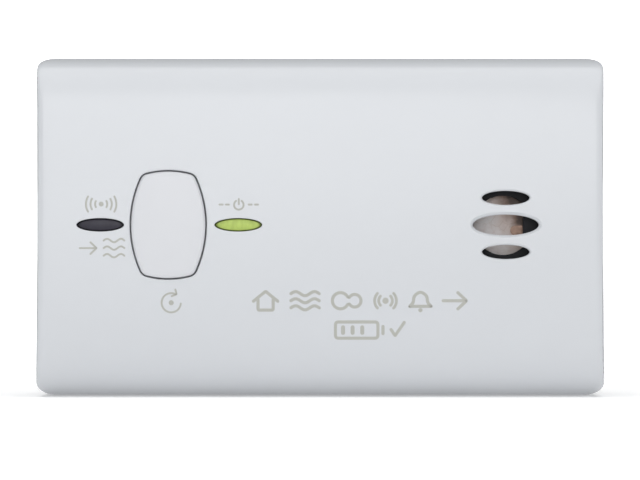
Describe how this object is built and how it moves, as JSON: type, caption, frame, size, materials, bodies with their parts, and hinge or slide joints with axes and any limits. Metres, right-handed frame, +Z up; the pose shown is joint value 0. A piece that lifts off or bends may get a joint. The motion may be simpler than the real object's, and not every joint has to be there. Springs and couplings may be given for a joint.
{
  "type": "carbon monoxide detector",
  "caption": "Landscape carbon monoxide detector with a push-to-test button, indicator lenses, oval vents, a battery bay, inner electronics and a lift-off wall bracket.",
  "frame": {"origin": "centre of the overall box on the plane of the base", "axes": "+Z up, the front faces -Y and the wall side +Y, +X towards the vents, at the right seen from the front"},
  "size_m": [0.1142, 0.0382, 0.0684],
  "materials": {
    "cover_plastic": "smooth satin white moulded plastic",
    "case_plastic": "fine-textured white moulded plastic",
    "bracket_plastic": "fine-textured white moulded plastic",
    "button_plastic": "smooth satin white moulded plastic",
    "smoked_lens": "smoked dark lens",
    "green_lens": "tinted green lens",
    "zinc_steel": "zinc plated",
    "board_laminate": "green solder mask on glass-fibre laminate",
    "black_plastic": "black moulded plastic",
    "foam_ring": "foam rubber",
    "brass_disc": "rolled brass sheet",
    "piezo_ceramic": "fired ceramic with a matt silvered face",
    "contact_bronze": "phosphor bronze strip",
    "tinned_metal": "tinned",
    "sensor_plastic": "off-white moulded plastic",
    "sensor_steel": "stainless steel",
    "filter_felt": "charcoal filter felt",
    "gold_pins": "gold plated",
    "red_led_epoxy": "tinted clear epoxy",
    "green_led_epoxy": "tinted clear epoxy",
    "chip_epoxy": "moulded epoxy",
    "capacitor_sleeve": "shrink sleeve",
    "ferrite": "sintered ferrite",
    "copper_wire": "enamelled copper wire",
    "chip_ceramic": "fired ceramic",
    "cell_jacket": "printed jacket on a steel can"
  },
  "bodies": {
    "alarm": {"front_cover": "cover_plastic", "back_case": "case_plastic", "alarm_lens": "smoked_lens", "operate_lens": "green_lens", "case_screws": "zinc_steel", "circuit_board": "board_laminate", "board_screws": "zinc_steel", "horn_housing": "black_plastic", "horn_gasket": "foam_ring", "piezo_plate": "brass_disc", "piezo_ceramic": "piezo_ceramic", "horn_contact": "contact_bronze", "horn_pin": "tinned_metal", "sensor_base": "sensor_plastic", "sensor_can": "sensor_steel", "sensor_filter": "filter_felt", "sensor_pins": "gold_pins", "red_led": "red_led_epoxy", "green_led": "green_led_epoxy", "led_spacers": "black_plastic", "led_leads": "tinned_metal", "switch_base": "black_plastic", "switch_frame": "tinned_metal", "switch_legs": "tinned_metal", "microcontroller": "chip_epoxy", "microcontroller_leads": "tinned_metal", "capacitor": "capacitor_sleeve", "capacitor_leads": "tinned_metal", "inductor_core": "ferrite", "inductor_winding": "copper_wire", "chip_resistors": "chip_epoxy", "chip_capacitors": "chip_ceramic", "transistor": "chip_epoxy", "battery_1": "cell_jacket", "battery_2": "cell_jacket", "battery_3": "cell_jacket", "battery_spring_1": "tinned_metal", "battery_spring_2": "tinned_metal", "battery_spring_3": "tinned_metal", "negative_terminal": "tinned_metal", "positive_terminal": "tinned_metal", "left_link": "tinned_metal", "right_link": "tinned_metal"},
    "button": {"test_button": "button_plastic"},
    "plunger": {"switch_plunger": "black_plastic"},
    "bracket": {"wall_bracket": "bracket_plastic"}
  },
  "joints": [
    {"name": "button_press", "type": "slide", "parent": "alarm", "child": "button", "axis": [0, 1, 0], "range_m": [0, 0.0005], "stiffness_N_per_m": 3000},
    {"name": "plunger_press", "type": "slide", "parent": "alarm", "child": "plunger", "axis": [0, 1, 0], "range_m": [0, 0.0005]},
    {"name": "bracket_slide", "type": "slide", "parent": "alarm", "child": "bracket", "axis": [0, 0, -1], "range_m": [0, 0.006]}
  ],
  "couplings": [
    {"joint": "plunger_press", "follows": "button_press", "ratio": 1}
  ]
}
